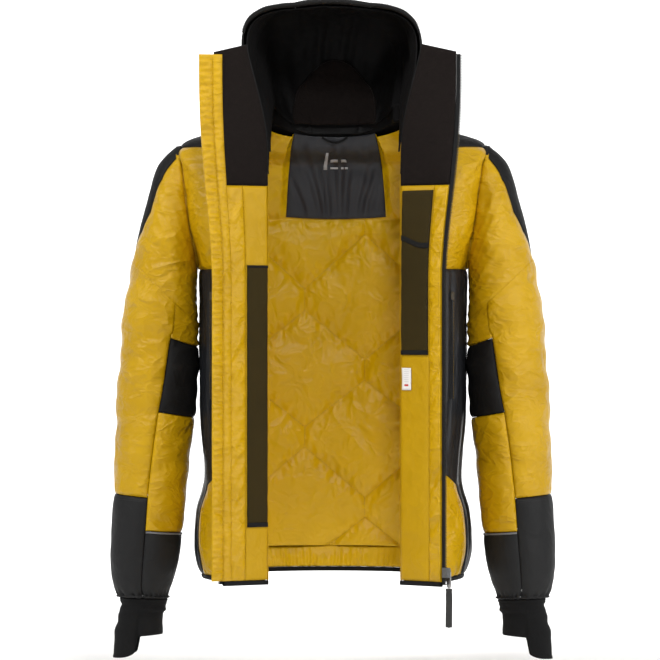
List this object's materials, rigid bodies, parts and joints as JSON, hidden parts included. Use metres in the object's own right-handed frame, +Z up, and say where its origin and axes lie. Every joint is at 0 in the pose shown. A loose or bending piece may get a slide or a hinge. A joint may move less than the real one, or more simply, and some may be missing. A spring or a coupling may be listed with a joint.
{
  "type": "insulated hooded jacket",
  "caption": "Hooded insulated zip jacket, standing as worn with both fronts turned back and the hood up.",
  "frame": {"origin": "the middle of the hanger loop's seam at the back of the neck", "axes": "+Z up, -Y out of the jacket's front, +X towards the wearer's left"},
  "size_m": [0.686, 0.3127, 1.0217],
  "materials": {
    "mustard_nylon": "light satin woven nylon over thin fill",
    "quilted_lining": "light nylon, stitched in a honeycomb",
    "black_nylon": "matte woven nylon",
    "charcoal_nylon": "soft stretch nylon",
    "satin": "smooth satin",
    "fleece": "short brushed fleece",
    "olive_mesh": "fine knitted mesh",
    "rib_knit": "ribbed stretch knit",
    "binding_tape": "woven elastic binding",
    "cord": "woven cord and tape",
    "zip_tape": "moulded teeth on a coated tape",
    "dark_metal": "dark coated metal",
    "label": "printed white label"
  },
  "bodies": {
    "torso": {"right_chest_shell": "mustard_nylon", "left_chest_shell": "mustard_nylon", "right_lower_front_shell": "mustard_nylon", "left_lower_front_shell": "mustard_nylon", "right_side_panel": "charcoal_nylon", "left_side_panel": "charcoal_nylon", "back_shell": "mustard_nylon", "shoulder_yoke": "black_nylon", "back_lining": "quilted_lining", "right_front_lining": "quilted_lining", "left_front_lining": "quilted_lining", "lining_yoke": "satin", "hem_facing": "quilted_lining", "hem_binding": "binding_tape", "hanger_loop": "cord", "right_pocket_zip": "zip_tape", "left_pocket_zip": "zip_tape"},
    "front_right": {"right_front_shell": "mustard_nylon", "right_collar_shell": "black_nylon", "right_collar_facing": "fleece", "right_front_facing": "mustard_nylon", "right_mesh_pocket": "olive_mesh", "right_front_binding": "binding_tape", "right_zip_chain": "zip_tape", "right_storm_flap": "mustard_nylon"},
    "front_left": {"left_front_shell": "mustard_nylon", "left_collar_shell": "black_nylon", "left_collar_facing": "fleece", "left_front_facing": "mustard_nylon", "left_mesh_pocket": "olive_mesh", "left_front_binding": "binding_tape", "left_zip_chain": "zip_tape", "left_care_label": "label"},
    "slider": {"zip_slider": "dark_metal"},
    "puller": {"zip_puller": "dark_metal", "pull_tape": "cord"},
    "hood": {"hood_crown": "black_nylon", "right_hood_side": "black_nylon", "left_hood_side": "black_nylon", "hood_lining": "black_nylon", "neck_facing": "fleece", "hood_brim": "black_nylon"},
    "sleeve_right": {"right_shoulder_strap": "black_nylon", "right_sleeve_cap": "mustard_nylon", "right_outer_sleeve": "mustard_nylon", "right_elbow_insert": "black_nylon", "right_forearm": "mustard_nylon", "right_forearm_guard": "black_nylon", "right_cuff_panel": "charcoal_nylon", "right_wrist_gaiter": "rib_knit"},
    "sleeve_left": {"left_shoulder_strap": "black_nylon", "left_sleeve_cap": "mustard_nylon", "left_outer_sleeve": "mustard_nylon", "left_elbow_insert": "black_nylon", "left_forearm": "mustard_nylon", "left_forearm_guard": "black_nylon", "left_cuff_panel": "charcoal_nylon", "left_wrist_gaiter": "rib_knit"},
    "pocket_slider_right": {"right_pocket_slider": "dark_metal"},
    "pocket_slider_left": {"left_pocket_slider": "dark_metal"}
  },
  "joints": [
    {"name": "close_right_front", "type": "hinge", "parent": "torso", "child": "front_right", "pos_m": [-0.096, -0.178, 0], "axis": [0, 0, 1], "range_deg": [0, 140]},
    {"name": "close_left_front", "type": "hinge", "parent": "torso", "child": "front_left", "pos_m": [0.11, -0.178, 0], "axis": [0, 0, -1], "range_deg": [0, 131]},
    {"name": "run_zip_slider", "type": "slide", "parent": "front_left", "child": "slider", "axis": [0, 0, 1], "range_m": [0, 0.41]},
    {"name": "swing_puller", "type": "hinge", "parent": "slider", "child": "puller", "pos_m": [0.18432, -0.24219, -0.674], "axis": [0.7193, -0.6947, 0], "range_deg": [0, 150]},
    {"name": "tip_hood", "type": "hinge", "parent": "torso", "child": "hood", "pos_m": [0, 0.011, -0.015], "axis": [-1, 0, 0], "range_deg": [0, 30]},
    {"name": "raise_right_sleeve", "type": "hinge", "parent": "torso", "child": "sleeve_right", "pos_m": [-0.224, -0.062, -0.115], "axis": [0, 1, 0], "range_deg": [0, 45], "deforming": ["right_sleeve_cap", "right_shoulder_strap"]},
    {"name": "raise_left_sleeve", "type": "hinge", "parent": "torso", "child": "sleeve_left", "pos_m": [0.224, -0.062, -0.115], "axis": [0, -1, 0], "range_deg": [0, 45], "deforming": ["left_sleeve_cap", "left_shoulder_strap"]},
    {"name": "run_right_pocket_slider", "type": "slide", "parent": "torso", "child": "pocket_slider_right", "axis": [0.0027, 0, -1], "range_m": [0, 0.145]},
    {"name": "run_left_pocket_slider", "type": "slide", "parent": "torso", "child": "pocket_slider_left", "axis": [-0.0027, 0, -1], "range_m": [0, 0.145]}
  ]
}
